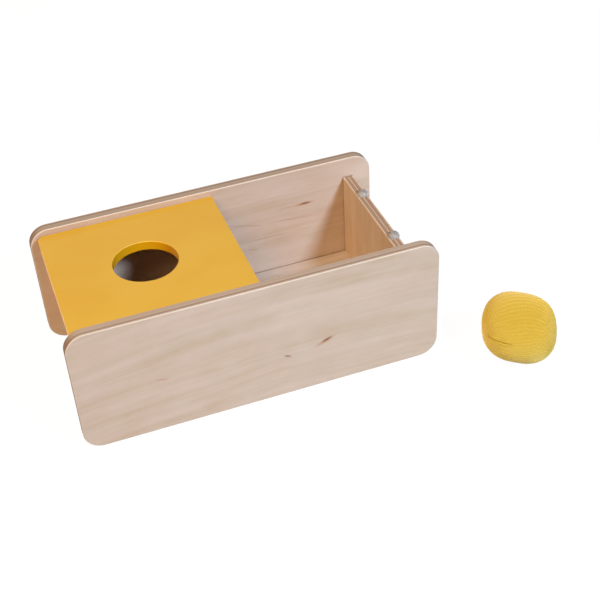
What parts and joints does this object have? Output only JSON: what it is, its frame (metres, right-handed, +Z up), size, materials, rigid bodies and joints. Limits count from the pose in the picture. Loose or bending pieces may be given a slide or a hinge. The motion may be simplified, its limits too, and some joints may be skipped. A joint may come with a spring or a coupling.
{
  "type": "object permanence box",
  "caption": "Open wooden box between two rounded side panels, with a flip lid that has a round hole and swings over to cover either half, and a soft knitted ball.",
  "frame": {"origin": "on the table under the middle of the box", "axes": "+Z up; +X along the box from the lidded half to the open half; the front panel is at -Y"},
  "size_m": [0.3899, 0.215, 0.1135],
  "materials": {
    "birch_panel": "pale birch plywood, clear matt lacquer",
    "birch_board": "pale birch plywood, clear matt lacquer",
    "dowel_beech": "bare turned wood",
    "clear_bumper": "clear soft polyurethane",
    "yellow_lid": "satin yellow paint on board",
    "pin_steel": "drawn steel",
    "yellow_knit": "garter-knitted yarn",
    "stuffing": "loose fibre",
    "yellow_yarn": "drawn yarn"
  },
  "bodies": {
    "box": {"front_panel": "birch_panel", "back_panel": "birch_panel", "floor_panel": "birch_board", "left_wall": "birch_board", "middle_wall": "birch_board", "right_wall": "birch_board", "left_wall_dowels": "dowel_beech", "middle_wall_dowels": "dowel_beech", "right_wall_dowels": "dowel_beech", "floor_dowels": "dowel_beech", "left_front_bumper": "clear_bumper", "left_back_bumper": "clear_bumper", "right_front_bumper": "clear_bumper", "right_back_bumper": "clear_bumper"},
    "lid": {"flip_lid": "yellow_lid", "front_pivot_pin": "pin_steel", "back_pivot_pin": "pin_steel"},
    "ball": {"ball_cover": "yellow_knit", "ball_stuffing": "stuffing", "ball_gather_yarn": "yellow_yarn"}
  },
  "joints": [
    {"name": "lid_flip", "type": "hinge", "parent": "box", "child": "lid", "pos_m": [0, 0, 0.10425], "axis": [0, 1, 0], "range_deg": [0, 180]},
    {"name": "ball_lift", "type": "slide", "parent": "box", "child": "ball", "axis": [0, 0, 1], "range_m": [0, 0.15]}
  ]
}
